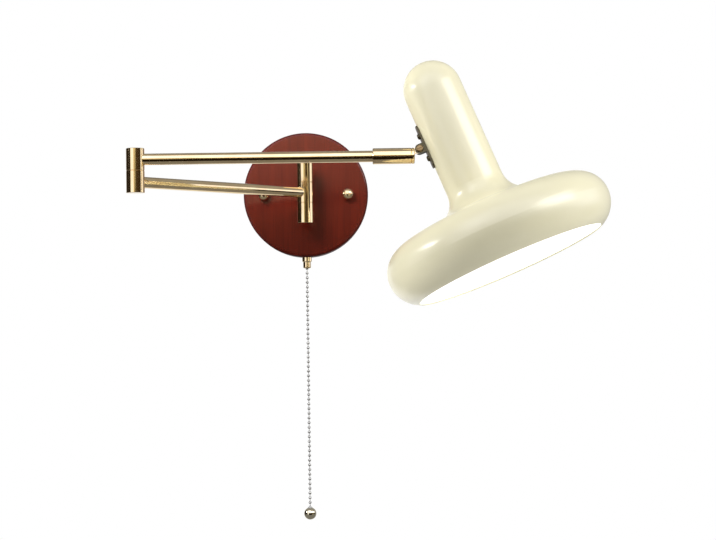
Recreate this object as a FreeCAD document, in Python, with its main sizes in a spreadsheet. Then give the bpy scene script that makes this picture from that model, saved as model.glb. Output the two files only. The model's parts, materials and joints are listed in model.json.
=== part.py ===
"""Swing arm wall lamp: wooden canopy, two brass arms, tilting shade and a pull chain.

Millimetres. The origin is the centre of the canopy's back, on the wall. +X is right, +Z is up, and the lamp
stands out from the wall along -Y. The rest pose is half folded, with the head leaning out.
"""

import FreeCAD
import Part
import Sketcher

import math
import operator
import os

SIZES = (
    # Fits, all radial unless a name says otherwise
    ("run_gap", 0.05),
    ("seat_gap", 0.03),
    ("hole_gap", 0.2),
    ("face_gap", 0.1),
    # Canopy: a turned disc, hollow at the back
    ("canopy_r", 61.0),
    ("canopy_depth", 24.0),
    ("canopy_front", 6.0),
    ("canopy_rim", 8.0),
    ("canopy_edge", 2.5),
    # Bar on the wall, with slots for the wall screws and studs for the canopy
    ("bar_end_gap", 4.0),
    ("bar_width", 22.0),
    ("bar_thick", 2.0),
    ("bar_corner", 4.0),
    ("bar_wire_r", 5.0),
    ("slot_from_stud", 11.0),
    ("slot_length", 10.0),
    ("slot_r", 2.3),
    ("stud_from_end", 8.0),
    ("stud_r", 2.0),
    ("stud_tip", 0.5),
    ("stud_nut_flats", 7.0),
    ("stud_nut_high", 3.2),
    ("cap_ball_r", 5.5),
    ("cap_neck_r", 3.6),
    ("cap_neck_high", 2.5),
    ("cap_thread_deep", 7.0),
    ("terminal_wide", 14.0),
    ("terminal_tall", 18.0),
    ("terminal_deep", 11.0),
    ("terminal_x", -14.0),
    ("terminal_wire_r", 1.8),
    # Hinge barrels, the same at shoulder and elbow
    ("barrel_r", 8.0),
    ("barrel_high", 19.2),
    ("barrel_edge", 0.3),
    ("barrel_end", 2.5),
    ("washer_r", 7.8),
    ("washer_thick", 0.4),
    ("pin_r", 4.0),
    ("pin_bore_r", 2.5),
    ("pin_end_gap", 0.3),
    ("set_screw_r", 1.3),
    ("set_screw_sunk", 0.4),
    # Shoulder post, with its two fixed knuckles
    ("post_reach", 29.0),
    ("stub_r", 5.0),
    ("tail_r", 3.0),
    ("tail_spare", 2.0),
    ("knuckle_nut_flats", 10.0),
    ("knuckle_nut_high", 5.0),
    # Arms
    ("tube_r", 5.0),
    ("tube_wall", 1.0),
    ("socket_floor", 5.0),
    ("arm_wire_r", 2.0),
    ("lower_reach", 205.3),
    ("lower_angle", 45.7),
    ("upper_reach", 247.2),
    # Sleeve at the end of the upper arm, and the spigot that it turns on
    ("sleeve_r", 7.0),
    ("sleeve_length", 36.5),
    ("sleeve_lip", 1.2),
    ("sleeve_edge", 0.5),
    ("sleeve_ring", 2.8),
    ("sleeve_end", 5.6),
    ("collar_length", 12.0),
    ("plug_length", 12.0),
    ("groove_wide", 3.2),
    ("groove_deep", 1.6),
    ("groove_gap", 0.35),
    ("swivel_in", 20.0),
    ("swivel_out", 60.0),
    ("stop_slack_angle", 2.0),
    ("swivel_rest", 7.0),
    # Tilt joint: lug on the sleeve, ears on the head's plate
    ("pivot_stand", 4.5),
    ("pivot_lift", 5.6),
    ("pivot_r", 1.5),
    ("lug_r", 3.6),
    ("lug_thick", 4.0),
    ("ear_r", 4.2),
    ("ear_thick", 1.6),
    ("tilt_rest", 22.2),
    ("tilt_head_r", 3.2),
    ("tilt_head_high", 1.8),
    ("small_nut_flats", 5.5),
    ("small_nut_high", 2.4),
    # Plate on the stem, and its screws
    ("pivot_to_stem", 5.85),
    ("plate_thick", 1.4),
    ("plate_length", 40.0),
    ("plate_wide", 9.0),
    ("plate_corner", 3.0),
    ("window_tall", 9.6),
    ("screw_pitch", 21.0),
    ("screw_r", 1.5),
    ("screw_head_r", 2.5),
    ("screw_head_high", 1.8),
    ("screw_spare", 0.6),
    # Shade: stem and saucer in one
    ("shade_wall", 1.0),
    ("shade_high", 194.2),
    ("stem_r", 25.8),
    ("rim_r", 102.4),
    ("rim_high", 25.5),
    ("lip_in", 17.3),
    ("shoulder_r", 25.2),
    ("top_angle", 9.0),
    ("neck_r", 21.2),
    ("pivot_high", 124.1),
    ("shade_wire_r", 2.5),
    ("diffuser_thick", 2.5),
    ("diffuser_set", 1.2),
    # Lamp holder on its bracket, and the bulb
    ("bracket_thick", 1.5),
    ("bracket_wide", 12.0),
    ("bracket_below", 16.0),
    ("bracket_top", 31.5),
    ("bracket_past", 9.0),
    ("nipple_r", 5.0),
    ("nipple_bore_r", 3.5),
    ("nipple_in", 8.0),
    ("nipple_spare", 1.5),
    ("nipple_nut_flats", 13.0),
    ("nipple_nut_high", 3.0),
    ("holder_r", 19.0),
    ("holder_top_r", 13.0),
    ("holder_top_high", 8.0),
    ("holder_taper", 5.0),
    ("holder_roof", 14.0),
    ("cap_r", 13.2),
    ("cap_high", 25.0),
    ("cap_gap", 0.4),
    ("cap_show", 1.0),
    ("contact_r", 4.5),
    ("contact_high", 6.0),
    ("globe_r", 22.5),
    ("globe_neck_r", 11.5),
    ("globe_wall", 1.0),
    # Pull switch in the canopy
    ("switch_deep", 11.6),
    ("switch_wide", 22.0),
    ("switch_gap", 1.0),
    ("switch_seat", 0.3),
    ("shank_r", 3.2),
    ("shank_in", 7.0),
    ("ferrule_r", 4.7),
    ("ferrule_high", 4.6),
    ("ferrule_edge", 0.8),
    ("nozzle_r", 3.8),
    ("nozzle_high", 6.1),
    ("nozzle_round", 1.2),
    ("nozzle_bore_r", 2.1),
    ("plunger_r", 2.7),
    ("plunger_high", 4.0),
    ("pull_travel", 7.0),
    # Chain, as a plain run, with its bell and ball
    ("chain_r", 1.6),
    ("chain_drop", 240.9),
    ("bell_r", 2.4),
    ("bell_high", 5.0),
    ("ball_r", 6.0),
)

OPERATORS = {"+": operator.add, "-": operator.sub, "*": operator.mul, "/": operator.truediv}
X = FreeCAD.Vector(1, 0, 0)
Y = FreeCAD.Vector(0, 1, 0)
Z = FreeCAD.Vector(0, 0, 1)
NO_TURN = FreeCAD.Rotation()
Z_TO_X = FreeCAD.Rotation(Y, 90)
Z_TO_Y = FreeCAD.Rotation(X, -90)
Z_TO_MINUS_Y = FreeCAD.Rotation(X, 90)


class Size:
    """A size with its value and the expression on the sheet that gives it."""

    def __init__(self, value, text):
        self.value = float(value)
        self.text = text

    def __add__(self, other):
        return combined(self, "+", other)

    def __radd__(self, other):
        return combined(other, "+", self)

    def __sub__(self, other):
        return combined(self, "-", other)

    def __rsub__(self, other):
        return combined(other, "-", self)

    def __mul__(self, other):
        return combined(self, "*", other)

    def __rmul__(self, other):
        return combined(other, "*", self)

    def __truediv__(self, other):
        return combined(self, "/", other)

    def __neg__(self):
        return combined(0, "-", self)


class Sheet:
    """The sizes by name, each as a Size."""

    def __init__(self, doc):
        self.cells = dict(SIZES)
        sheet = doc.addObject("Spreadsheet::Sheet", "dims")
        for row, (name, value) in enumerate(SIZES, start=1):
            sheet.set(f"A{row}", name)
            sheet.set(f"B{row}", str(value))
            sheet.setAlias(f"B{row}", name)
        doc.recompute()

    def __getattr__(self, name):
        return Size(self.cells[name], f"dims.{name}")


def as_size(number):
    return number if isinstance(number, Size) else Size(number, f"({float(number)!r})")


def combined(a, sign, b):
    a, b = as_size(a), as_size(b)
    return Size(OPERATORS[sign](a.value, b.value), f"({a.text} {sign} {b.text})")


def root(size):
    return Size(math.sqrt(size.value), f"sqrt({size.text})")


def sine(angle):
    return Size(math.sin(math.radians(angle.value)), f"sin({angle.text})")


def cosine(angle):
    return Size(math.cos(math.radians(angle.value)), f"cos({angle.text})")


def arcsine(size):
    return Size(math.degrees(math.asin(size.value)), f"(asin({size.text}) / 1 deg)")


def other_leg(long_side, leg):
    """The other short side of a right triangle."""
    return root(long_side * long_side - leg * leg)


def bind(thing, name, size):
    thing.setExpression(name, as_size(size).text)


def vector(x, y, z):
    return FreeCAD.Vector(*(as_size(c).value for c in (x, y, z)))


def locate(thing, x=0, y=0, z=0, turn=NO_TURN):
    """Puts a primitive or a tool in its sub-part's frame, with its place bound to the sheet."""
    thing.Placement = FreeCAD.Placement(vector(x, y, z), turn)
    for name, size in (("x", x), ("y", y), ("z", z)):
        bind(thing, f"Placement.Base.{name}", size)
    return thing


class Bench:
    """The document, its sheet, and the operations that the sub-parts are made with."""

    def __init__(self):
        self.doc = FreeCAD.newDocument("swing_arm_wall_lamp")
        self.sizes = Sheet(self.doc)
        self.pieces = []

    def finish(self, piece, label, frame):
        piece.Label = label
        piece.Placement = frame
        self.pieces.append(piece)
        return piece

    def body_with_sketch(self, name, plane_role):
        body = self.doc.addObject("PartDesign::Body", name)
        sketch = body.newObject("Sketcher::SketchObject", f"{name}_sketch")
        attach(sketch, body, plane_role)
        return body, sketch

    def turned(self, name, corners):
        """A body turned about its Z axis, from an outline of (radius, height) corners."""
        body, sketch = self.body_with_sketch(name, "XZ_Plane")
        add_outline(sketch, corners)
        turn = body.newObject("PartDesign::Revolution", f"{name}_turn")
        turn.Profile = sketch
        turn.ReferenceAxis = (sketch, ["V_Axis"])
        turn.Angle = 360
        return body

    def plate(self, name, plane_role, thick, outlines, circles=(), middle=False):
        """A body padded from outlines and round holes on one of its own planes."""
        body, sketch = self.body_with_sketch(name, plane_role)
        for corners in outlines:
            add_outline(sketch, corners)
        for x, y, radius in circles:
            add_circle(sketch, x, y, radius)
        pad = body.newObject("PartDesign::Pad", f"{name}_pad")
        pad.Profile = sketch
        bind(pad, "Length", thick)
        pad.Midplane = middle
        return body

    def rod(self, name, radius, length, x=0, y=0, z=0, turn=NO_TURN):
        rod = self.doc.addObject("Part::Cylinder", name)
        bind(rod, "Radius", radius)
        bind(rod, "Height", length)
        return locate(rod, x, y, z, turn)

    def block(self, name, length, width, height, x=0, y=0, z=0):
        block = self.doc.addObject("Part::Box", name)
        for side, size in (("Length", length), ("Width", width), ("Height", height)):
            bind(block, side, size)
        return locate(block, x, y, z)

    def fused(self, name, shapes):
        fused = self.doc.addObject("Part::MultiFuse", name)
        fused.Shapes = shapes
        return fused

    def cut(self, name, base, tools):
        cut = self.doc.addObject("Part::Cut", name)
        cut.Base = base
        cut.Tool = tools[0] if len(tools) == 1 else self.fused(f"{name}_tools", tools)
        return cut

    def mirrored(self, name, source, normal):
        mirrored = self.doc.addObject("Part::Mirroring", name)
        mirrored.Source = source
        mirrored.Normal = normal
        return mirrored

    def pair(self, name, source, normal):
        """A piece and its mirror image, as one sub-part of two solids."""
        pair = self.doc.addObject("Part::Compound", name)
        pair.Links = [source, self.mirrored(f"{name}_other", source, normal)]
        return pair

    def hex_nut(self, name, flats, high, bore_r):
        """A nut on the XY plane, with flats facing up and down."""
        corner = flats / math.sqrt(3)
        half = flats / 2
        ring = [(corner, 0), (corner / 2, half), (-corner / 2, half)]
        ring += [(-corner, 0), (-corner / 2, -half), (corner / 2, -half)]
        return self.plate(name, "XY_Plane", high, [ring], [(0, 0, bore_r)])

    def check(self):
        """Stops if any object failed or any sub-part isn't a sound solid."""
        self.doc.recompute()
        for thing in self.doc.Objects:
            if {"Invalid", "Error"} & set(thing.State):
                raise RuntimeError(f"{thing.Label} failed: {thing.State}")
        for piece in self.pieces:
            shape = piece.Shape
            if shape.isNull() or not shape.isValid() or not shape.Solids:
                raise RuntimeError(f"{piece.Label} isn't a sound solid")


def attach(sketch, body, plane_role):
    plane = next(f for f in body.Origin.OriginFeatures if f.Role == plane_role)
    sketch.AttachmentSupport = [(plane, "")]
    sketch.MapMode = "FlatFace"


def pin_point(sketch, geometry, position, x, y):
    """Fixes a point of a sketch at x, y, measured from the sketch's origin, on an axis where one is zero."""
    for axis, kind, size in ((-2, "DistanceX", as_size(x)), (-1, "DistanceY", as_size(y))):
        if size.text == "(0.0)":
            sketch.addConstraint(Sketcher.Constraint("PointOnObject", geometry, position, axis))
        else:
            fix_distance(sketch, kind, geometry, position, size)


def fix_distance(sketch, kind, geometry, position, size):
    """A distance from the sketch's origin, bound to the sheet."""
    limit = Sketcher.Constraint(kind, -1, 1, geometry, position, size.value)
    sketch.setExpression(f"Constraints[{sketch.addConstraint(limit)}]", size.text)


def arc(start, end, centre, turn):
    """An arc about centre, which a sketch always runs anticlockwise, and its start and end positions."""
    first, last = (start, end) if turn > 0 else (end, start)
    angles = [math.atan2(p.y - centre.y, p.x - centre.x) for p in (first, last)]
    if angles[1] <= angles[0]:
        angles[1] += 2 * math.pi
    circle = Part.Circle(centre, Z, (first - centre).Length)
    return Part.ArcOfCircle(circle, *angles), (1, 2) if turn > 0 else (2, 1)


def pin_centre(sketch, geometry, start, end, centre):
    """Fixes the one coordinate of an arc's centre that its two ends leave open."""
    chord = end - start
    along_x = abs(chord.y) > abs(chord.x)
    size = as_size(centre[0] if along_x else centre[1])
    fix_distance(sketch, "DistanceX" if along_x else "DistanceY", geometry, 3, size)


def add_outline(sketch, corners):
    """A closed outline. A corner is (x, y), or (x, y, centre, turn) where an arc leads to it."""
    points = [vector(c[0], c[1], 0) for c in corners]
    joins = []
    for i, corner in enumerate(corners):
        start, end = points[i - 1], points[i]
        ends = (1, 2)
        shape = Part.LineSegment(start, end)
        if len(corner) > 2:
            shape, ends = arc(start, end, vector(*corner[2], 0), corner[3])
        geometry = sketch.addGeometry(shape)
        joins.append((geometry, *ends))
    for i, (geometry, first, last) in enumerate(joins):
        following = joins[(i + 1) % len(joins)]
        sketch.addConstraint(Sketcher.Constraint("Coincident", geometry, last, following[0], following[1]))
        pin_point(sketch, geometry, last, *corners[i][:2])
        if len(corners[i]) > 2:
            pin_centre(sketch, geometry, points[i - 1], points[i], corners[i][2])


def add_circle(sketch, x, y, radius):
    geometry = sketch.addGeometry(Part.Circle(vector(x, y, 0), Z, as_size(radius).value))
    pin_point(sketch, geometry, 3, x, y)
    index = sketch.addConstraint(Sketcher.Constraint("Radius", geometry, as_size(radius).value))
    sketch.setExpression(f"Constraints[{index}]", as_size(radius).text)


def slot_outline(x, length, radius):
    """A slot along X, centred at x."""
    half = length / 2 - radius
    left, right = x - half, x + half
    return [
        (left, -radius, (left, 0), 1),
        (right, -radius),
        (right, radius, (right, 0), 1),
        (left, radius),
    ]


def rounded_box(half_x, half_y, corner):
    """A rectangle about the origin with rounded corners."""
    inner_x, inner_y = half_x - corner, half_y - corner
    return [
        (inner_x, -half_y),
        (half_x, -inner_y, (inner_x, -inner_y), 1),
        (half_x, inner_y),
        (inner_x, half_y, (inner_x, inner_y), 1),
        (-inner_x, half_y),
        (-half_x, inner_y, (-inner_x, inner_y), 1),
        (-half_x, -inner_y),
        (-inner_x, -half_y, (-inner_x, -inner_y), 1),
    ]


class Frames:
    """Where each moving group stands at rest. Sub-parts are modelled in these frames."""

    def __init__(self, d):
        face_y = -d.canopy_depth.value
        self.wall = FreeCAD.Placement(FreeCAD.Vector(), Z_TO_MINUS_Y)
        self.room = FreeCAD.Placement()
        self.post = FreeCAD.Placement(FreeCAD.Vector(0, face_y - d.post_reach.value, 0), NO_TURN)
        swung = FreeCAD.Rotation(Z, 180 + d.lower_angle.value)
        self.lower = FreeCAD.Placement(self.post.Base, swung)
        elbow = self.lower.multVec(vector(d.lower_reach, 0, d.barrel_high + d.washer_thick))
        self.upper = FreeCAD.Placement(elbow, NO_TURN)
        self.swivel = self.upper * FreeCAD.Placement(
            FreeCAD.Vector(), FreeCAD.Rotation(X, -d.swivel_rest.value)
        )
        pivot = vector(d.upper_reach, 0, d.pivot_lift)
        self.head = self.swivel * FreeCAD.Placement(pivot, FreeCAD.Rotation(-Y, d.tilt_rest.value))
        stem = vector(d.stem_r + d.pivot_to_stem, 0, -d.pivot_high)
        self.shade = self.head * FreeCAD.Placement(stem, NO_TURN)


def moved(frame, x=0, y=0, z=0, turn=NO_TURN):
    return frame * FreeCAD.Placement(vector(x, y, z), turn)


def tube_outline(outer, inner, low, high):
    return [(inner, low), (outer, low), (outer, high), (inner, high)]


def barrel_skin(d):
    """The outside of a hinge barrel about its own middle, from its lower edge to its upper."""
    half, edge, outer = d.barrel_high / 2, d.barrel_edge, d.barrel_r
    return [(outer - edge, -half), (outer, -half + edge), (outer, half - edge), (outer - edge, half)]


def barrel_cup(d, bore_r, side):
    """A barrel closed at one end: the upper one for side 1, the lower one for side -1."""
    half = side * d.barrel_high / 2
    floor = half - side * d.barrel_end
    inside = [(0, half), (0, floor), (bore_r, floor), (bore_r, -half)]
    return barrel_skin(d) + (inside if side > 0 else inside[::-1])


def barrel_ring(d, bore_r):
    half = d.barrel_high / 2
    return barrel_skin(d) + [(bore_r, half), (bore_r, -half)]


def arm_socket(bench, name, turn):
    """Tools for the flat-bottomed socket that takes a tube, and the wire's way through to the bore."""
    d = bench.sizes
    out = turn.multVec(Z)
    socket = bench.rod(f"{name}_socket", d.tube_r + d.seat_gap, d.barrel_r)
    locate(socket, d.socket_floor * out.x, d.socket_floor * out.y, 0, turn)
    wire = bench.rod(f"{name}_wire", d.arm_wire_r, d.barrel_r, turn=turn)
    return [socket, wire]


def screw_outline(d, tip, radius):
    """A headless screw along Z, from tip to just under a barrel's skin."""
    top = d.barrel_r - d.set_screw_sunk
    return [(0, tip), (radius, tip), (radius, top), (0, top)]


# Wall side: bar, studs, canopy, knuckles


def bar_half(d):
    return d.canopy_r - d.canopy_rim - d.bar_end_gap


def stud_x(d):
    return bar_half(d) - d.stud_from_end


def wall_bracket(bench, frames):
    d = bench.sizes
    slot_x = stud_x(d) - d.slot_from_stud
    slots = [slot_outline(side * slot_x, d.slot_length, d.slot_r) for side in (-1, 1)]
    circles = [(side * stud_x(d), 0, d.stud_r + d.seat_gap) for side in (-1, 1)]
    circles.append((0, 0, d.bar_wire_r))
    outline = rounded_box(bar_half(d), d.bar_width / 2, d.bar_corner)
    bar = bench.plate("wall_bracket", "XY_Plane", d.bar_thick, [outline, *slots], circles)
    bench.finish(bar, "wall_bracket", frames.wall)


def bracket_studs(bench, frames):
    d = bench.sizes
    top = d.canopy_depth + d.cap_thread_deep - d.face_gap
    outline = [(0, 0), (d.stud_r, 0), (d.stud_r, top - d.stud_tip), (d.stud_r - d.stud_tip, top), (0, top)]
    stud = bench.turned("stud", outline)
    locate(stud, stud_x(d))
    bench.finish(bench.pair("bracket_studs", stud, X), "bracket_studs", frames.wall)


def stud_nuts(bench, frames):
    d = bench.sizes
    nut = bench.hex_nut("stud_nut", d.stud_nut_flats, d.stud_nut_high, d.stud_r + d.seat_gap)
    locate(nut, stud_x(d), 0, d.bar_thick)
    bench.finish(bench.pair("stud_nuts", nut, X), "stud_nuts", frames.wall)


def terminal_block(bench, frames):
    d = bench.sizes
    wide, tall, deep = d.terminal_wide, d.terminal_tall, d.terminal_deep
    block = bench.block(
        "terminal_solid", wide, tall, deep, d.terminal_x - wide / 2, -tall / 2, d.bar_thick
    )
    tools = []
    for i, place in enumerate((-tall / 4, tall / 4)):
        way = bench.rod(f"terminal_way_{i}", d.terminal_wire_r, wide * 2)
        locate(way, d.terminal_x - wide, place, d.bar_thick + deep / 3, Z_TO_X)
        screw = bench.rod(f"terminal_screw_{i}", d.terminal_wire_r, deep)
        locate(screw, d.terminal_x, place, d.bar_thick + deep / 2)
        tools += [way, screw]
    bench.finish(bench.cut("terminal_block", block, tools), "terminal_block", frames.wall)


def canopy(bench, frames):
    d = bench.sizes
    inner = d.canopy_r - d.canopy_rim
    ceiling = d.canopy_depth - d.canopy_front
    edge_r, edge_z = d.canopy_r - d.canopy_edge, d.canopy_depth - d.canopy_edge
    outline = [
        (0, ceiling),
        (inner, ceiling),
        (inner, 0),
        (d.canopy_r, 0),
        (d.canopy_r, edge_z),
        (edge_r, d.canopy_depth, (edge_r, edge_z), 1),
        (0, d.canopy_depth),
    ]
    disc = bench.turned("canopy_disc", outline)
    knuckle_z = d.barrel_high + d.washer_thick
    tools = []
    for side in (-1, 1):
        stud = bench.rod(f"canopy_stud_{side}", d.stud_r + d.hole_gap, d.canopy_depth)
        tail = bench.rod(f"canopy_tail_{side}", d.tail_r + d.hole_gap, d.canopy_depth)
        tools.append(locate(stud, side * stud_x(d), 0, ceiling / 2))
        tools.append(locate(tail, 0, side * knuckle_z, ceiling / 2))
    outlet = bench.rod("canopy_outlet", d.shank_r + d.hole_gap, d.canopy_rim * 2)
    tools.append(locate(outlet, 0, -d.canopy_r - d.canopy_rim / 2, switch_z(d), Z_TO_Y))
    bench.finish(bench.cut("canopy", disc, tools), "canopy", frames.wall)


def cap_nuts(bench, frames):
    """Ball nuts with a short neck, bored from the canopy side for the studs."""
    d = bench.sizes
    base = d.canopy_depth
    ball_z = base + d.cap_neck_high + other_leg(d.cap_ball_r, d.cap_neck_r)
    bore = d.stud_r + d.seat_gap
    outline = [
        (bore, base),
        (d.cap_neck_r, base),
        (d.cap_neck_r, base + d.cap_neck_high),
        (0, ball_z + d.cap_ball_r, (0, ball_z), 1),
        (0, base + d.cap_thread_deep),
        (bore, base + d.cap_thread_deep),
    ]
    nut = bench.turned("cap_nut", outline)
    locate(nut, stud_x(d))
    bench.finish(bench.pair("cap_nuts", nut, X), "cap_nuts", frames.wall)


def knuckle(bench, frames, label, side):
    """A fixed barrel above or below the hub, on a stub whose tail goes through the canopy."""
    d = bench.sizes
    middle = side * (d.barrel_high + d.washer_thick)
    shell = bench.turned(f"{label}_shell", [(0, -d.barrel_high / 2), *barrel_skin(d), (0, d.barrel_high / 2)])
    locate(shell, 0, 0, middle)
    stub = bench.rod(f"{label}_stub", d.stub_r, d.post_reach, 0, 0, middle, Z_TO_Y)
    tail_length = d.post_reach + d.canopy_front + d.knuckle_nut_high + d.tail_spare
    tail = bench.rod(f"{label}_tail", d.tail_r, tail_length, 0, 0, middle, Z_TO_Y)
    bore = bench.rod(f"{label}_bore", d.pin_r + d.seat_gap, d.barrel_high)
    locate(bore, 0, 0, middle - d.barrel_high / 2 - side * d.barrel_end)
    way = bench.rod(f"{label}_way", d.arm_wire_r, tail_length * 2, 0, 0, middle, Z_TO_Y)
    solid = bench.fused(f"{label}_solid", [shell, stub, tail])
    bench.finish(bench.cut(label, solid, [bore, way]), label, frames.post)


def shoulder_upper_knuckle(bench, frames):
    knuckle(bench, frames, "shoulder_upper_knuckle", 1)


def shoulder_lower_knuckle(bench, frames):
    knuckle(bench, frames, "shoulder_lower_knuckle", -1)


def knuckle_nuts(bench, frames):
    d = bench.sizes
    nut = bench.hex_nut("knuckle_nut", d.knuckle_nut_flats, d.knuckle_nut_high, d.tail_r + d.seat_gap)
    behind = d.canopy_depth - d.canopy_front - d.knuckle_nut_high
    locate(nut, 0, d.barrel_high + d.washer_thick, behind)
    bench.finish(bench.pair("knuckle_nuts", nut, Y), "knuckle_nuts", frames.wall)


def shoulder_pin(bench, frames):
    d = bench.sizes
    half = 3 * d.barrel_high / 2 + d.washer_thick - d.barrel_end - d.pin_end_gap
    pin = bench.turned("shoulder_pin", tube_outline(d.pin_r, d.pin_bore_r, -half, half))
    bench.finish(pin, "shoulder_pin", frames.post)


def washer(bench, name):
    d = bench.sizes
    low = d.barrel_high / 2
    bore = d.pin_r + d.run_gap
    return bench.turned(name, tube_outline(d.washer_r, bore, low, low + d.washer_thick))


def shoulder_washers(bench, frames):
    upper = washer(bench, "shoulder_washer")
    bench.finish(bench.pair("shoulder_washers", upper, Z), "shoulder_washers", frames.post)


# Lower arm


def shoulder_hub(bench, frames):
    d = bench.sizes
    ring = bench.turned("hub_ring", barrel_ring(d, d.pin_r + d.run_gap))
    hub = bench.cut("shoulder_hub", ring, arm_socket(bench, "hub", Z_TO_X))
    bench.finish(hub, "shoulder_hub", frames.lower)


def arm_tube(bench, label, frame, start, end):
    """A straight tube along its arm's X axis."""
    d = bench.sizes
    tube = bench.turned(label, tube_outline(d.tube_r, d.tube_r - d.tube_wall, start, end))
    bench.finish(tube, label, moved(frame, turn=Z_TO_X))


def lower_arm_tube(bench, frames):
    d = bench.sizes
    arm_tube(bench, "lower_arm_tube", frames.lower, d.socket_floor, d.lower_reach - d.socket_floor)


def elbow_lower_barrel(bench, frames):
    d = bench.sizes
    cup = bench.turned("elbow_cup", barrel_cup(d, d.pin_r + d.seat_gap, -1))
    way = bench.rod("elbow_cup_screw_way", d.set_screw_r + d.seat_gap, d.barrel_r * 2, turn=Z_TO_MINUS_Y)
    tools = arm_socket(bench, "elbow_cup", FreeCAD.Rotation(Y, -90)) + [way]
    barrel = bench.cut("elbow_lower_barrel", cup, tools)
    bench.finish(barrel, "elbow_lower_barrel", moved(frames.lower, d.lower_reach))


def elbow_pin(bench, frames):
    """A hollow pin with a groove that the keeper screw runs in."""
    d = bench.sizes
    low = -d.barrel_high / 2 + d.barrel_end + d.pin_end_gap
    high = d.barrel_high * 3 / 2 + d.washer_thick - d.barrel_end - d.pin_end_gap
    groove = keeper_z(d) + d.barrel_high + d.washer_thick
    floor = d.pin_r - (d.pin_r - d.pin_bore_r) / 2
    half = d.groove_wide / 2
    outline = [
        (d.pin_bore_r, low),
        (d.pin_r, low),
        (d.pin_r, groove - half),
        (floor, groove - half),
        (floor, groove + half),
        (d.pin_r, groove + half),
        (d.pin_r, high),
        (d.pin_bore_r, high),
    ]
    bench.finish(bench.turned("elbow_pin", outline), "elbow_pin", moved(frames.lower, d.lower_reach))


def keeper_z(d):
    """Height of the keeper screw above the middle of the upper barrel."""
    return d.barrel_high / 8


def elbow_washer(bench, frames):
    bench.finish(washer(bench, "elbow_washer"), "elbow_washer", moved(frames.lower, bench.sizes.lower_reach))


def pin_set_screw(bench, frames):
    d = bench.sizes
    screw = bench.turned("pin_set_screw", screw_outline(d, d.pin_r + d.seat_gap, d.set_screw_r))
    bench.finish(screw, "pin_set_screw", moved(frames.lower, d.lower_reach, turn=Z_TO_MINUS_Y))


# Upper arm


def elbow_upper_barrel(bench, frames):
    d = bench.sizes
    cup = bench.turned("elbow_cap", barrel_cup(d, d.pin_r + d.run_gap, 1))
    way = bench.rod("elbow_cap_screw_way", d.set_screw_r + d.seat_gap, d.barrel_r * 2)
    locate(way, 0, 0, keeper_z(d), Z_TO_Y)
    tools = arm_socket(bench, "elbow_cap", Z_TO_X) + [way]
    bench.finish(bench.cut("elbow_upper_barrel", cup, tools), "elbow_upper_barrel", frames.upper)


def elbow_keeper_screw(bench, frames):
    d = bench.sizes
    tip = d.pin_r - (d.pin_r - d.pin_bore_r) / 2 + d.groove_gap
    screw = bench.turned("elbow_keeper_screw", screw_outline(d, tip, d.set_screw_r))
    bench.finish(screw, "elbow_keeper_screw", moved(frames.upper, 0, 0, keeper_z(d), Z_TO_Y))


def sleeve_end_x(d):
    return d.upper_reach - d.pivot_stand


def spigot_end_x(d):
    return sleeve_end_x(d) - d.sleeve_end - d.pin_end_gap


def upper_tube_end_x(d):
    return spigot_end_x(d) - d.collar_length


def upper_arm_tube(bench, frames):
    d = bench.sizes
    arm_tube(bench, "upper_arm_tube", frames.upper, d.socket_floor, upper_tube_end_x(d))


def stop_tip_r(d):
    """How near the axis the stop screw's tip comes."""
    return d.tube_r - d.groove_deep + d.groove_gap


def swivel_spigot(bench, frames):
    """A plug in the tube's end, with a collar whose part-turn groove stops the sleeve at both ends."""
    d = bench.sizes
    plug_r = d.tube_r - d.tube_wall - d.seat_gap
    start, step, end = upper_tube_end_x(d) - d.plug_length, upper_tube_end_x(d), spigot_end_x(d)
    outline = [
        (d.arm_wire_r, start),
        (plug_r, start),
        (plug_r, step),
        (d.tube_r, step),
        (d.tube_r, end),
        (d.arm_wire_r, end),
    ]
    spigot = bench.turned("swivel_spigot", outline)
    sketch = spigot.newObject("Sketcher::SketchObject", "spigot_groove_sketch")
    attach(sketch, spigot, "XZ_Plane")
    middle, half = step + d.collar_length / 2, d.groove_wide / 2
    floor, past = d.tube_r - d.groove_deep, d.tube_r + d.groove_deep
    add_outline(sketch, tube_outline(past, floor, middle - half, middle + half))
    groove = spigot.newObject("PartDesign::Groove", "spigot_groove")
    groove.Profile = sketch
    groove.ReferenceAxis = (sketch, ["V_Axis"])
    groove.Midplane = True
    tip_angle = arcsine(d.set_screw_r / stop_tip_r(d)) + d.stop_slack_angle
    bind(groove, "Angle", d.swivel_in + d.swivel_out + tip_angle * 2)
    to_middle = FreeCAD.Rotation(X, (d.swivel_in.value - d.swivel_out.value) / 2)
    along = FreeCAD.Rotation(Y, X * 0, X, "ZXY")
    bench.finish(spigot, "swivel_spigot", moved(frames.swivel, turn=to_middle * along))


# Sleeve, with the lug of the tilt joint


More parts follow.
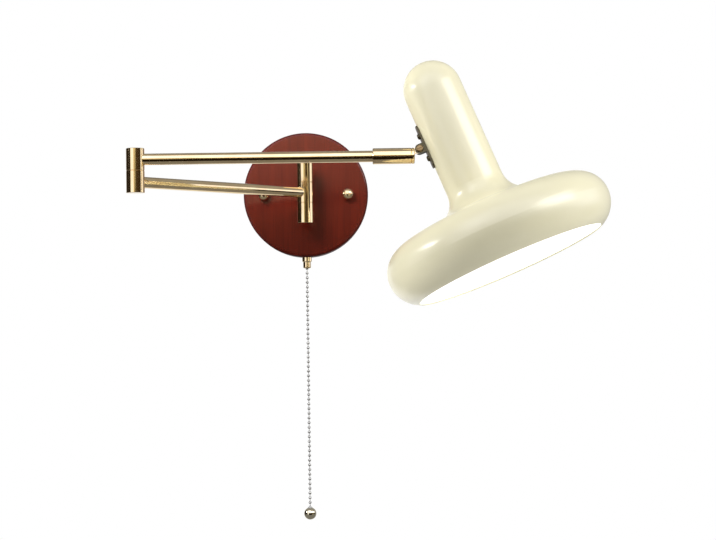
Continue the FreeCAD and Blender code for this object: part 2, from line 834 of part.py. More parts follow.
def swivel_sleeve(bench, frames):
    """A turned sleeve with a scribed line before its rounded end, and a lug that rises from that end."""
    d = bench.sizes
    end = sleeve_end_x(d)
    start, bore_end = end - d.sleeve_length, end - d.sleeve_end
    bore = d.tube_r + d.run_gap
    edge, line = d.sleeve_edge, end - d.sleeve_ring
    lip = (d.sleeve_r - d.sleeve_lip, end - d.sleeve_lip)
    outline = [
        (bore, start),
        (d.sleeve_r - edge, start),
        (d.sleeve_r, start + edge),
        (d.sleeve_r, line - edge),
        (d.sleeve_r - edge, line),
        (d.sleeve_r, line + edge),
        (d.sleeve_r, lip[1]),
        (lip[0], end, lip, 1),
        (0, end),
        (0, bore_end),
        (bore, bore_end),
    ]
    shell = bench.turned("sleeve_shell", outline)
    locate(shell, turn=Z_TO_X)
    low, high = d.pivot_lift - d.lug_r, d.pivot_lift + d.lug_r
    root_x = end - d.sleeve_lip
    lug_outline = [
        (root_x, low),
        (d.upper_reach, low),
        (d.upper_reach, high, (d.upper_reach, d.pivot_lift), 1),
        (root_x, lip[0]),
    ]
    lug = bench.plate("sleeve_lug", "XZ_Plane", d.lug_thick, [lug_outline], middle=True)
    pivot = bench.rod("sleeve_pivot", d.pivot_r + d.run_gap, d.lug_thick * 2)
    locate(pivot, d.upper_reach, -d.lug_thick, d.pivot_lift, Z_TO_Y)
    way = bench.rod("sleeve_screw_way", d.set_screw_r + d.seat_gap, d.barrel_r * 2)
    locate(way, upper_tube_end_x(d) + d.collar_length / 2, 0, 0, Z_TO_Y)
    wire = bench.rod("sleeve_wire", d.arm_wire_r, d.sleeve_end * 3)
    locate(wire, bore_end - d.sleeve_end, 0, low - d.arm_wire_r, Z_TO_X)
    solid = bench.fused("sleeve_solid", [shell, lug])
    sleeve = bench.cut("swivel_sleeve", solid, [pivot, way, wire])
    bench.finish(sleeve, "swivel_sleeve", frames.swivel)


def swivel_stop_screw(bench, frames):
    d = bench.sizes
    tip, top = stop_tip_r(d), d.sleeve_r - d.set_screw_sunk
    outline = [(0, tip), (d.set_screw_r, tip), (d.set_screw_r, top), (0, top)]
    screw = bench.turned("swivel_stop_screw", outline)
    place = upper_tube_end_x(d) + d.collar_length / 2
    bench.finish(screw, "swivel_stop_screw", moved(frames.swivel, place, turn=Z_TO_Y))


# Head: plate, shade, holder and bulb


def head_plate(bench, frames):
    """A strip hollowed to sit on the stem, with two ears lanced out of its middle for the pivot."""
    d = bench.sizes
    face = d.pivot_to_stem - d.plate_thick
    ear_in = d.lug_thick / 2 + d.face_gap / 2
    holes = [(0, side * d.screw_pitch / 2, d.screw_r + d.hole_gap) for side in (-1, 1)]
    outline = rounded_box(d.plate_wide / 2, d.plate_length / 2, d.plate_corner)
    window = rounded_box(ear_in, d.window_tall / 2, d.face_gap)
    strip = bench.plate("plate_strip", "YZ_Plane", d.plate_thick * 2, [outline, window], holes)
    locate(strip, face)
    ears = []
    for side in (-1, 1):
        ear_outline = [
            (face + d.plate_thick / 2, d.ear_r),
            (0, d.ear_r),
            (0, -d.ear_r, (0, 0), 1),
            (face + d.plate_thick / 2, -d.ear_r),
        ]
        ear = bench.plate(f"plate_ear_{side}", "XZ_Plane", d.ear_thick, [ear_outline], middle=True)
        ears.append(locate(ear, 0, side * (ear_in + d.ear_thick / 2), 0))
    seat = bench.rod("plate_seat", d.stem_r + d.seat_gap, d.plate_length * 2)
    locate(seat, d.stem_r + d.pivot_to_stem, 0, -d.plate_length)
    pivot = bench.rod("plate_pivot", d.pivot_r + d.seat_gap, d.plate_wide * 2)
    locate(pivot, 0, -d.plate_wide, 0, Z_TO_Y)
    solid = bench.fused("plate_solid", [strip, *ears])
    bench.finish(bench.cut("head_plate", solid, [seat, pivot]), "head_plate", frames.head)


def pan_screw_outline(head_r, head_high, shank_r, length):
    """A screw along Z with its seat at zero and a domed head below it."""
    shoulder = head_high / 2
    return [
        (0, -head_high),
        (head_r - shoulder, -head_high),
        (head_r, -shoulder, (head_r - shoulder, -shoulder), 1),
        (head_r, 0),
        (shank_r, 0),
        (shank_r, length),
        (0, length),
    ]


def bracket_face(d):
    """Where the holder bracket's leg touches the inside of the stem, from the pivot."""
    return d.stem_r + d.pivot_to_stem - other_leg(d.stem_r - d.shade_wall, d.bracket_wide / 2) + d.seat_gap


def plate_screws(bench, frames):
    d = bench.sizes
    seat = d.pivot_to_stem - d.plate_thick
    length = bracket_face(d) + d.bracket_thick + d.small_nut_high + d.screw_spare - seat
    outline = pan_screw_outline(d.screw_head_r, d.screw_head_high, d.screw_r, length)
    screw = bench.turned("plate_screw", outline)
    locate(screw, seat, 0, d.screw_pitch / 2, Z_TO_X)
    bench.finish(bench.pair("plate_screws", screw, Z), "plate_screws", frames.head)


def plate_nuts(bench, frames):
    d = bench.sizes
    nut = bench.hex_nut("plate_nut", d.small_nut_flats, d.small_nut_high, d.screw_r + d.seat_gap)
    locate(nut, bracket_face(d) + d.bracket_thick, 0, d.screw_pitch / 2, Z_TO_X)
    bench.finish(bench.pair("plate_nuts", nut, Z), "plate_nuts", frames.head)


def ear_face(d):
    return d.lug_thick / 2 + d.face_gap / 2 + d.ear_thick


def tilt_screw(bench, frames):
    d = bench.sizes
    length = 2 * ear_face(d) + d.small_nut_high + d.screw_spare
    outline = pan_screw_outline(d.tilt_head_r, d.tilt_head_high, d.pivot_r, length)
    screw = bench.turned("tilt_screw", outline)
    bench.finish(screw, "tilt_screw", moved(frames.head, 0, -ear_face(d), 0, Z_TO_Y))


def tilt_nut(bench, frames):
    d = bench.sizes
    nut = bench.hex_nut("tilt_nut", d.small_nut_flats, d.small_nut_high, d.pivot_r + d.seat_gap)
    bench.finish(nut, "tilt_nut", moved(frames.head, 0, ear_face(d), 0, Z_TO_Y))


def lip_arc(d):
    """Radius and centre of the arc from the shade's opening out to its rim."""
    radius = (d.lip_in * d.lip_in + d.rim_high * d.rim_high) / (2 * d.lip_in)
    return radius, d.rim_r - radius


def shade_outline(d):
    """Half section of the shade: lip, rim, sloping top, neck, stem and dome, then the same inside."""
    wall = d.shade_wall
    lip_r, lip_x = lip_arc(d)
    lip, opening_r = (lip_x, d.rim_high), d.rim_r - d.lip_in
    thinned = wall / lip_r
    shoulder = (d.rim_r - d.shoulder_r, d.rim_high)
    lean, rise = sine(d.top_angle), cosine(d.top_angle)
    top_x, top_z = shoulder[0] + d.shoulder_r * lean, shoulder[1] + d.shoulder_r * rise
    neck_x = d.stem_r + d.neck_r
    neck = (neck_x, top_z + (top_x - neck_x) * lean / rise + d.neck_r / rise)
    dome = (0, d.shade_high - d.stem_r)
    thin_shoulder, wide_neck = d.shoulder_r - wall, d.neck_r + wall
    outside = [
        (opening_r, 0),
        (d.rim_r, d.rim_high, lip, 1),
        (top_x, top_z, shoulder, 1),
        (neck_x - d.neck_r * lean, neck[1] - d.neck_r * rise),
        (d.stem_r, neck[1], neck, -1),
        (d.stem_r, dome[1]),
        (0, d.shade_high, dome, 1),
    ]
    inside = [
        (0, d.shade_high - wall),
        (d.stem_r - wall, dome[1], dome, -1),
        (d.stem_r - wall, neck[1]),
        (neck_x - wide_neck * lean, neck[1] - wide_neck * rise, neck, 1),
        (shoulder[0] + thin_shoulder * lean, shoulder[1] + thin_shoulder * rise),
        (d.rim_r - wall, d.rim_high, shoulder, -1),
        (opening_r - (opening_r - lip_x) * thinned, d.rim_high * thinned, lip, -1),
    ]
    return outside + inside


def shade(bench, frames):
    d = bench.sizes
    shell = bench.turned("shade_shell", shade_outline(d))
    tools = []
    reach = d.stem_r * 3 / 2
    for i, side in enumerate((-1, 1)):
        hole = bench.rod(f"shade_screw_{i}", d.screw_r + d.hole_gap, reach)
        tools.append(locate(hole, -2 * d.stem_r, 0, d.pivot_high + side * d.screw_pitch / 2, Z_TO_X))
    wire = bench.rod("shade_wire", d.shade_wire_r, reach)
    tools.append(locate(wire, -2 * d.stem_r, 0, d.pivot_high, Z_TO_X))
    bench.finish(bench.cut("shade", shell, tools), "shade", frames.shade)


def diffuser(bench, frames):
    """A disc that snaps in behind the lip, which is narrower than the disc."""
    d = bench.sizes
    lip_r, lip_x = lip_arc(d)
    radius = lip_x + other_leg(lip_r - d.shade_wall, d.rim_high - d.diffuser_set) - d.hole_gap
    low, high = d.diffuser_set, d.diffuser_set + d.diffuser_thick
    disc = bench.turned("diffuser", [(0, low), (radius, low), (radius, high), (0, high)])
    bench.finish(disc, "diffuser", frames.shade)


def holder_bracket(bench, frames):
    """A bent strip: one leg on the plate's screws, the other over the lamp holder."""
    d = bench.sizes
    face, thick = bracket_face(d), d.bracket_thick
    axis = d.stem_r + d.pivot_to_stem
    far, under = axis + d.bracket_past, d.bracket_top - thick
    outline = [
        (face, -d.bracket_below),
        (face + thick, -d.bracket_below),
        (face + thick, under - thick),
        (face + 2 * thick, under, (face + 2 * thick, under - thick), -1),
        (far, under),
        (far, d.bracket_top),
        (face + 2 * thick, d.bracket_top),
        (face, under - thick, (face + 2 * thick, under - thick), 1),
    ]
    strip = bench.plate("bracket_strip", "XZ_Plane", d.bracket_wide, [outline], middle=True)
    tools = []
    for i, side in enumerate((-1, 1)):
        hole = bench.rod(f"bracket_screw_{i}", d.screw_r + d.hole_gap, face * 2)
        tools.append(locate(hole, 0, 0, side * d.screw_pitch / 2, Z_TO_X))
    nipple = bench.rod("bracket_nipple", d.nipple_r + d.seat_gap, d.bracket_top)
    tools.append(locate(nipple, axis, 0, d.bracket_top / 2))
    bench.finish(bench.cut("holder_bracket", strip, tools), "holder_bracket", frames.head)


def on_stem_axis(d, frames):
    return moved(frames.head, d.stem_r + d.pivot_to_stem)


def holder_top(d):
    return d.bracket_top - d.bracket_thick


def holder_nipple(bench, frames):
    d = bench.sizes
    low = holder_top(d) - d.nipple_in
    high = d.bracket_top + d.nipple_nut_high + d.nipple_spare
    nipple = bench.turned("holder_nipple", tube_outline(d.nipple_r, d.nipple_bore_r, low, high))
    bench.finish(nipple, "holder_nipple", on_stem_axis(d, frames))


def nipple_nut(bench, frames):
    d = bench.sizes
    nut = bench.hex_nut("nipple_nut", d.nipple_nut_flats, d.nipple_nut_high, d.nipple_r + d.seat_gap)
    bench.finish(nut, "nipple_nut", moved(on_stem_axis(d, frames), 0, 0, d.bracket_top))


def lamp_holder(bench, frames):
    d = bench.sizes
    top = holder_top(d)
    low, roof = cap_low(d) + d.cap_show, top - d.holder_roof
    bore = d.nipple_r + d.seat_gap
    cavity = d.cap_r + d.cap_gap
    outline = [
        (bore, top),
        (bore, top - d.nipple_in - d.face_gap),
        (d.nipple_bore_r, top - d.nipple_in - d.face_gap),
        (d.nipple_bore_r, roof),
        (cavity, roof),
        (cavity, low),
        (d.holder_r, low),
        (d.holder_r, top - d.holder_top_high - d.holder_taper),
        (d.holder_top_r, top - d.holder_top_high),
        (d.holder_top_r, top),
    ]
    bench.finish(bench.turned("lamp_holder", outline), "lamp_holder", on_stem_axis(d, frames))


def cap_top(d):
    return holder_top(d) - d.holder_roof - d.face_gap


def cap_low(d):
    return cap_top(d) - d.contact_high - d.cap_high


def bulb_cap(bench, frames):
    d = bench.sizes
    top, low = cap_top(d), cap_low(d)
    shoulder = top - d.contact_high
    slope = d.cap_r - d.contact_r
    outline = [
        (0, top),
        (0, low),
        (d.cap_r, low),
        (d.cap_r, shoulder - slope / 2),
        (d.contact_r, shoulder),
        (d.contact_r, top),
    ]
    bench.finish(bench.turned("bulb_cap", outline), "bulb_cap", on_stem_axis(d, frames))


def bulb_globe(bench, frames):
    """A hollow ball whose neck meets the cap."""
    d = bench.sizes
    top = cap_low(d)
    inner, inner_neck = d.globe_r - d.globe_wall, d.globe_neck_r - d.globe_wall
    middle = (0, top - other_leg(d.globe_r, d.globe_neck_r))
    outline = [
        (inner_neck, top),
        (d.globe_neck_r, top),
        (0, middle[1] - d.globe_r, middle, -1),
        (0, middle[1] - inner),
        (inner_neck, middle[1] + other_leg(inner, inner_neck), middle, 1),
    ]
    bench.finish(bench.turned("bulb_globe", outline), "bulb_globe", on_stem_axis(d, frames))


# Pull switch and chain


def switch_z(d):
    """How far the switch's axis stands off the wall."""
    return d.canopy_depth - d.canopy_front - d.switch_deep / 2 - d.face_gap


def switch_floor(d):
    """Height of the switch's underside, where its corners meet the canopy's inner rim."""
    return -other_leg(d.canopy_r - d.canopy_rim, d.switch_wide / 2) + d.switch_seat


def chamber_top(d):
    return switch_floor(d) + d.shank_in + d.plunger_high + d.pull_travel + 2 * d.face_gap


def on_switch_axis(d, frames, z=0):
    return moved(frames.room, 0, -switch_z(d), z)


def switch_body(bench, frames):
    d = bench.sizes
    floor = switch_floor(d)
    top = -d.barrel_high - d.washer_thick - d.knuckle_nut_flats / 2 - d.switch_gap
    wide, deep = d.switch_wide, d.switch_deep
    block = bench.block("switch_block", wide, deep, top - floor, -wide / 2, -deep / 2, floor)
    thread = bench.rod("switch_thread", d.shank_r + d.seat_gap, d.shank_in)
    chamber = bench.rod("switch_chamber", d.plunger_r + d.run_gap, chamber_top(d) - floor)
    tools = [locate(thread, 0, 0, floor), locate(chamber, 0, 0, floor)]
    bench.finish(bench.cut("switch_body", block, tools), "switch_body", on_switch_axis(d, frames))


def ferrule_top(d):
    return -d.canopy_r - d.seat_gap


def nozzle_top(d):
    return switch_floor(d) + d.shank_in - d.face_gap


def nozzle_mouth(d):
    return ferrule_top(d) - d.ferrule_high - d.nozzle_high


def switch_nozzle(bench, frames):
    d = bench.sizes
    seat, mouth = ferrule_top(d) - d.ferrule_high, nozzle_mouth(d)
    round_r, round_z = d.nozzle_r - d.nozzle_round, mouth + d.nozzle_round
    outline = [
        (d.nozzle_bore_r, nozzle_top(d)),
        (d.nozzle_bore_r, mouth),
        (round_r, mouth),
        (d.nozzle_r, round_z, (round_r, round_z), 1),
        (d.nozzle_r, seat),
        (d.shank_r, seat),
        (d.shank_r, nozzle_top(d)),
    ]
    bench.finish(bench.turned("switch_nozzle", outline), "switch_nozzle", on_switch_axis(d, frames))


def switch_ferrule(bench, frames):
    d = bench.sizes
    top, bore, edge = ferrule_top(d), d.shank_r + d.seat_gap, d.ferrule_edge
    low = top - d.ferrule_high
    outline = [
        (bore, top),
        (bore, low),
        (d.ferrule_r - edge, low),
        (d.ferrule_r, low + edge),
        (d.ferrule_r, top),
    ]
    bench.finish(bench.turned("switch_ferrule", outline), "switch_ferrule", on_switch_axis(d, frames))


def plunger_low(d):
    return chamber_top(d) - d.face_gap - d.plunger_high


def switch_plunger(bench, frames):
    d = bench.sizes
    low = plunger_low(d)
    outline = [(0, low), (d.plunger_r, low), (d.plunger_r, low + d.plunger_high), (0, low + d.plunger_high)]
    bench.finish(bench.turned("switch_plunger", outline), "switch_plunger", on_switch_axis(d, frames))


def ball_z(d):
    return nozzle_mouth(d) - d.chain_drop


def bell_top(d):
    return ball_z(d) + other_leg(d.ball_r, d.bell_r) + d.bell_high


def pull_chain(bench, frames):
    d = bench.sizes
    low, high = bell_top(d), plunger_low(d)
    outline = [(0, low), (d.chain_r, low), (d.chain_r, high), (0, high)]
    bench.finish(bench.turned("pull_chain", outline), "pull_chain", on_switch_axis(d, frames))


def chain_bell(bench, frames):
    """A collar that stands on the ball, rounded at its top."""
    d = bench.sizes
    top, neck = bell_top(d), d.chain_r
    low = top - d.bell_high + d.seat_gap
    shoulder = top - (d.bell_r - neck)
    outline = [
        (0, low),
        (d.bell_r, low),
        (d.bell_r, shoulder),
        (neck, top, (neck, shoulder), 1),
        (0, top),
    ]
    collar = bench.turned("bell_collar", outline)
    bench.finish(collar, "chain_bell", on_switch_axis(d, frames))


def chain_ball(bench, frames):
    """A ball with a small flat on top that carries the bell."""
    d = bench.sizes
    middle = (0, ball_z(d))
    flat = middle[1] + other_leg(d.ball_r, d.bell_r)
    outline = [(0, flat), (0, middle[1] - d.ball_r), (d.bell_r, flat, middle, 1)]
    bench.finish(bench.turned("chain_ball", outline), "chain_ball", on_switch_axis(d, frames))


SUB_PARTS = (
    wall_bracket,
    bracket_studs,
    stud_nuts,
    terminal_block,
    canopy,
    cap_nuts,
    shoulder_upper_knuckle,
    shoulder_lower_knuckle,
    knuckle_nuts,
    shoulder_pin,
    shoulder_washers,
    shoulder_hub,
    lower_arm_tube,
    elbow_lower_barrel,
    elbow_pin,
    elbow_washer,
    pin_set_screw,
    elbow_upper_barrel,
    elbow_keeper_screw,
    upper_arm_tube,
    swivel_spigot,
    swivel_sleeve,
    swivel_stop_screw,
    head_plate,
    plate_screws,
    plate_nuts,
    tilt_screw,
    tilt_nut,
    shade,
    diffuser,
    holder_bracket,
    holder_nipple,
    nipple_nut,
    lamp_holder,
    bulb_cap,
    bulb_globe,
    switch_body,
    switch_nozzle,
    switch_ferrule,
    switch_plunger,
    pull_chain,
    chain_bell,
    chain_ball,
)


def main():
    bench = Bench()
    frames = Frames(bench.sizes)
    for sub_part in SUB_PARTS:
        sub_part(bench, frames)
    bench.check()
    os.makedirs("parts", exist_ok=True)
    for piece in bench.pieces:
        piece.Shape.exportStep(f"parts/{piece.Label}.step")


main()
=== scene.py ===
"""Swing arm wall lamp: finishes for its solids, pieces that need finer modelling, and a plain studio."""

import json
import math

import bpy
from bpy.props import FloatProperty, FloatVectorProperty, IntProperty, PointerProperty
from mathutils import Matrix, Vector


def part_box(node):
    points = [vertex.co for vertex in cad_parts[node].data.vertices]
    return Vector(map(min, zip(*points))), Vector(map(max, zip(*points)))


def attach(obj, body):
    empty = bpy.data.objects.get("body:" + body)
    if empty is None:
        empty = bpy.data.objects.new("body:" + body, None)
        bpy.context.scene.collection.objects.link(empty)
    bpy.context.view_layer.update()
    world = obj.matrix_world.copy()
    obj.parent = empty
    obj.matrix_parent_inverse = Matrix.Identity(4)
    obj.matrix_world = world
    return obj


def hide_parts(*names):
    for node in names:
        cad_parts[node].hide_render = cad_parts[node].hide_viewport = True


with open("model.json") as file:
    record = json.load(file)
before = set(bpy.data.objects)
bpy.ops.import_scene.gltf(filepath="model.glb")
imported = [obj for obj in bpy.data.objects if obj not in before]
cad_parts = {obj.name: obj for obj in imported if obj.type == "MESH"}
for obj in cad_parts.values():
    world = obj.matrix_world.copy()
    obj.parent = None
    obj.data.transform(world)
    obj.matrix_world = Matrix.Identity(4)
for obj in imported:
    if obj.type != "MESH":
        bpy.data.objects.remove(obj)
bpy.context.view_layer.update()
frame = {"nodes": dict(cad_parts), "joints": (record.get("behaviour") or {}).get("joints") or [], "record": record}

bl_info = {
    "name": "Swing arm wall lamp",
    "version": (1, 0, 0),
    "blender": (4, 5, 0),
    "location": "3D View > Sidebar > Lamp",
    "description": "Gives a wall lamp its finishes, bead chain, screws and studio",
    "category": "Object",
}

JOINTS = {joint["name"]: joint for joint in frame["joints"]}


# Sizes and colours that a user would change


def length_property(name, description, metres):
    return FloatProperty(name=name, description=description, default=metres, unit="LENGTH")


def angle_property(name, description, degrees):
    return FloatProperty(name=name, description=description, default=math.radians(degrees), unit="ROTATION")


def power_property(name, description, watts):
    return FloatProperty(name=name, description=description, default=watts, unit="POWER")


def colour_property(name, description, colour):
    return FloatVectorProperty(name=name, description=description, default=colour, subtype="COLOR")


class LampChain(bpy.types.PropertyGroup):
    """Sizes of the bead chain."""

    bead_radius: length_property("Bead radius", "Radius of one bead", 0.0015)
    bead_pitch: length_property("Bead pitch", "From one bead to the next", 0.0046)
    neck_radius: length_property("Neck radius", "Radius of the wire between two beads", 0.00032)
    hidden: length_property("Hidden length", "How far the chain starts inside the nozzle", 0.012)
    last_bead: length_property("Last bead", "How far its middle stands above the ball", 0.0007)
    ring_radius: length_property("Ring radius", "Radius of the ring round the last bead", 0.0018)
    ring_wire: length_property("Ring wire", "Radius of the ring's wire", 0.0006)


class LampScrews(bpy.types.PropertyGroup):
    """Sizes of the screws on the head."""

    plate_radius: length_property("Plate screw head", "Head radius of the two plate screws", 0.0025)
    plate_height: length_property("Screw height", "Head height of the plate and tilt screws", 0.0018)
    plate_pitch: length_property("Plate screw pitch", "Between the two plate screws", 0.021)
    plate_seat: length_property("Plate screw seat", "From the tilt axis to the plate's face", 0.00445)
    plate_shank: length_property("Plate screw shank", "Shank length of the plate screws", 0.00765)
    tilt_radius: length_property("Tilt screw head", "Head radius of the tilt screw", 0.0032)
    tilt_seat: length_property("Tilt screw seat", "From the lug's middle to the outer ear", 0.00365)
    tilt_shank: length_property("Tilt screw shank", "Shank length of the tilt screw", 0.0103)
    shank_radius: length_property("Shank radius", "Radius of the screws' shanks", 0.0015)
    sides: IntProperty(name="Sides", description="Sides of a screw head", default=40)
    lean: angle_property("Lean", "How far the stem leans at rest", 22.2)


class LampColours(bpy.types.PropertyGroup):
    """Colours of the finishes."""

    wood: colour_property("Wood", "Stained wood between its pores", (0.082, 0.0068, 0.0022))
    wood_dark: colour_property("Wood grain", "Darker grain lines", (0.065, 0.0053, 0.0017))
    brass: colour_property("Brass", "Clean brass", (0.83, 0.66, 0.4))
    brass_warm: colour_property("Warm brass", "Brass that has warmed a little", (0.74, 0.55, 0.31))
    pale_brass: colour_property("Pale brass", "Plated ball of the chain", (0.74, 0.67, 0.5))
    dull_brass: colour_property("Dull brass", "Brass that has darkened", (0.25, 0.17, 0.08))
    bronze: colour_property("Bronze", "Darkened plate and screws", (0.11, 0.095, 0.058))
    cream: colour_property("Enamel", "Cream enamel of the shade", (0.83, 0.78, 0.55))
    opal: colour_property("Opal", "Lit opal disc", (0.97, 0.97, 0.95))
    nickel: colour_property("Nickel", "Plated bead chain", (0.64, 0.63, 0.6))
    zinc: colour_property("Zinc", "Zinc plated steel", (0.55, 0.56, 0.57))
    pale_plastic: colour_property("Pale plastic", "Moulded terminal block", (0.78, 0.76, 0.7))
    pale_plastic_aged: colour_property("Aged pale plastic", "Where it has yellowed", (0.72, 0.7, 0.64))
    dark_plastic: colour_property("Dark plastic", "Moulded lamp holder", (0.02, 0.02, 0.02))
    dark_plastic_worn: colour_property("Worn dark plastic", "Where it has paled", (0.032, 0.031, 0.03))
    glass: colour_property("Glass", "Frosted globe of the bulb", (0.95, 0.95, 0.95))
    glass_dim: colour_property("Dim glass", "Where its frost is denser", (0.9, 0.9, 0.9))


class LampStudio(bpy.types.PropertyGroup):
    """Camera, lights and floor."""

    camera_place: FloatVectorProperty(
        name="Camera place",
        description="Where the camera stands",
        default=(0.03813, -1.5692, -0.11565),
        unit="LENGTH",
    )
    camera_pitch: angle_property("Camera pitch", "How far it looks up", 1.531)
    camera_yaw: angle_property("Camera yaw", "How far it looks left", -0.444)
    camera_roll: angle_property("Camera roll", "How far it leans", 0.799)
    lens: FloatProperty(name="Lens", description="Focal length in millimetres", default=79.365)
    spark_power: power_property("Spark", "Small mirrored box at the left", 7)
    front_power: power_property("Front light", "Box at the upper left", 3.8)
    canopy_power: power_property("Canopy light", "Gridded box on the canopy", 0.36)
    left_power: power_property("Left light", "Broad panel at the left", 32)
    right_power: power_property("Right light", "Broad panel at the right", 20)
    window_power: power_property("Window", "Mirrored panel at the right", 19)
    side_power: power_property("Side light", "Box at the front right", 10)
    top_power: power_property("Top light", "Panel overhead", 15.6)
    fill: FloatProperty(name="Fill", description="Strength of the light from all round", default=0.14)
    floor: colour_property("Floor", "Pale floor below the lamp", (0.88, 0.88, 0.87))


# Modelling by hand: selection, placing and dressing


def set_down():
    """Leaves edit mode and selects nothing."""
    if bpy.context.object and bpy.context.object.mode != "OBJECT":
        bpy.ops.object.mode_set(mode="OBJECT")
    bpy.ops.object.select_all(action="DESELECT")


def pick_up(piece):
    set_down()
    piece.select_set(True)
    bpy.context.view_layer.objects.active = piece


def select_faces(piece, wanted):
    """Goes into edit mode with just the wanted faces selected."""
    pick_up(piece)
    mesh = piece.data
    for part in (*mesh.vertices, *mesh.edges):
        part.select = False
    for face in mesh.polygons:
        face.select = wanted(face)
    bpy.ops.object.mode_set(mode="EDIT")
    bpy.ops.mesh.select_mode(type="FACE")


def settle(piece, place):
    """Puts a piece where it belongs, with its place in its mesh."""
    pick_up(piece)
    piece.matrix_world = place
    bpy.ops.object.transform_apply(location=True, rotation=True, scale=True)


def smooth(piece, degrees):
    """Shades a piece smooth, apart from edges that turn by more than some degrees."""
    pick_up(piece)
    bpy.ops.object.shade_smooth_by_angle(angle=math.radians(degrees))


def joined(pieces, name):
    pick_up(pieces[0])
    for piece in pieces[1:]:
        piece.select_set(True)
    if len(pieces) > 1:
        bpy.ops.object.join()
    whole = bpy.context.object
    whole.name = name
    whole.data.name = name
    return whole


def dress(piece, finish, body):
    piece.data.materials.clear()
    piece.data.materials.append(finish)
    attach(piece, body)


def head_frame(lean):
    """The head at rest: its origin on the tilt axis, Z up the stem, and X from the pivot to the stem."""
    tilt = JOINTS["head_tilt"]
    side = -Vector(tilt["axis"])
    out = Vector((1, 0, 0))
    up = out.cross(side)
    x = out * math.cos(lean) + up * math.sin(lean)
    z = x.cross(side)
    return Matrix.Translation(tilt["pos_m"]) @ Matrix((x, side, z)).transposed().to_4x4()


# Nodes that finishes are made of

# Sockets of a Mix node when it mixes colours, which share their names with its other sockets
MIX_FIRST, MIX_SECOND, MIX_RESULT = 6, 7, 2


def opaque(colour):
    return (*colour, 1.0)


class Nodes:
    """A tree of shader nodes."""

    def __init__(self, tree):
        self.tree = tree

    def feed(self, socket, value):
        """Sets a socket to a value, or links it to another node's output."""
        if isinstance(value, bpy.types.NodeSocket):
            self.tree.links.new(value, socket)
        else:
            socket.default_value = value

    def fill(self, node, sockets):
        """Feeds a node's sockets by their names, in which _ may stand for a space."""
        for socket, value in sockets.items():
            self.feed(node.inputs[socket.replace("_", " ")], value)
        return node

    def node(self, kind, **sockets):
        """A new node, with its sockets fed."""
        return self.fill(self.tree.nodes.new(kind), sockets)

    def ranged(self, value, given, wanted):
        """A value taken from the given range to the wanted one, and held inside it."""
        node = self.node(
            "ShaderNodeMapRange",
            Value=value,
            From_Min=given[0],
            From_Max=given[1],
            To_Min=wanted[0],
            To_Max=wanted[1],
        )
        return node.outputs["Result"]

    def mixed(self, share, first, second, way="MIX"):
        """Two colours, with a share of the second mixed into the first."""
        node = self.tree.nodes.new("ShaderNodeMix")
        node.data_type = "RGBA"
        node.blend_type = way
        self.feed(node.inputs["Factor"], share)
        self.feed(node.inputs[MIX_FIRST], first)
        self.feed(node.inputs[MIX_SECOND], second)
        return node.outputs[MIX_RESULT]


class Finish(Nodes):
    """A material: one Principled shader, and the nodes that feed it."""

    def __init__(self, name, **plain):
        self.material = bpy.data.materials.new(name)
        self.material.use_nodes = True
        super().__init__(self.material.node_tree)
        self.shader = self.tree.nodes["Principled BSDF"]
        self.fill(self.shader, plain)

    def give(self, socket, value):
        """Feeds one of the shader's sockets."""
        self.feed(self.shader.inputs[socket], value)

    def relief(self, height, depth):
        """Bumps the surface by a height, of which 1 stands for the depth in metres."""
        bump = self.node("ShaderNodeBump", Height=height, Distance=depth, Strength=1.0)
        self.give("Normal", bump.outputs["Normal"])

    def place(self, scale=(1, 1, 1), turn=(0, 0, 0)):
        """The piece's own coordinates, turned and stretched."""
        place = self.node("ShaderNodeTexCoord").outputs["Object"]
        turned = self.node("ShaderNodeMapping", Vector=place, Rotation=turn).outputs["Vector"]
        return self.node("ShaderNodeMapping", Vector=turned, Scale=scale).outputs["Vector"]

    def effect(self, group, **sockets):
        """What a node group puts out when its sockets are fed."""
        node = self.node("ShaderNodeGroup")
        node.node_tree = group
        return self.fill(node, sockets).outputs

    def ramp(self, value, *stops):
        """A colour for each value, between stops of a value and its colour."""
        node = self.node("ShaderNodeValToRGB", Fac=value)
        for element, (position, colour) in zip(node.color_ramp.elements, stops):
            element.position = position
            element.color = opaque(colour)
        return node.outputs["Color"]


class Effect(Nodes):
    """A node group: named inputs and outputs, and the nodes between them."""

    # Where nearly all of a noise's values lie
    NOISE = (0.3, 0.7)

    def __init__(self, name, inputs, outputs):
        super().__init__(bpy.data.node_groups.new(name, "ShaderNodeTree"))
        for way, sockets in (("INPUT", inputs), ("OUTPUT", outputs)):
            for socket, kind in sockets:
                self.tree.interface.new_socket(name=socket, in_out=way, socket_type=f"NodeSocket{kind}")
        self.given = self.tree.nodes.new("NodeGroupInput").outputs
        self.made = self.tree.nodes.new("NodeGroupOutput").inputs

    def noise(self, scale, detail, roughness):
        node = self.node(
            "ShaderNodeTexNoise",
            Vector=self.given["Vector"],
            Scale=scale,
            Detail=detail,
            Roughness=roughness,
        )
        return node.outputs["Fac"]


def fine_streaks():
    """Fine lines left by drawing, turning or rolling, along the axis that the coordinates stretch least."""
    effect = Effect(
        "Fine streaks",
        (("Vector", "Vector"), ("Smoothest", "Float"), ("Roughest", "Float")),
        (("Roughness", "Float"), ("Height", "Float")),
    )
    noise = effect.noise(scale=1.0, detail=3.0, roughness=0.6)
    limits = (effect.given["Smoothest"], effect.given["Roughest"])
    effect.feed(effect.made["Roughness"], effect.ranged(noise, Effect.NOISE, limits))
    effect.feed(effect.made["Height"], noise)
    return effect.tree


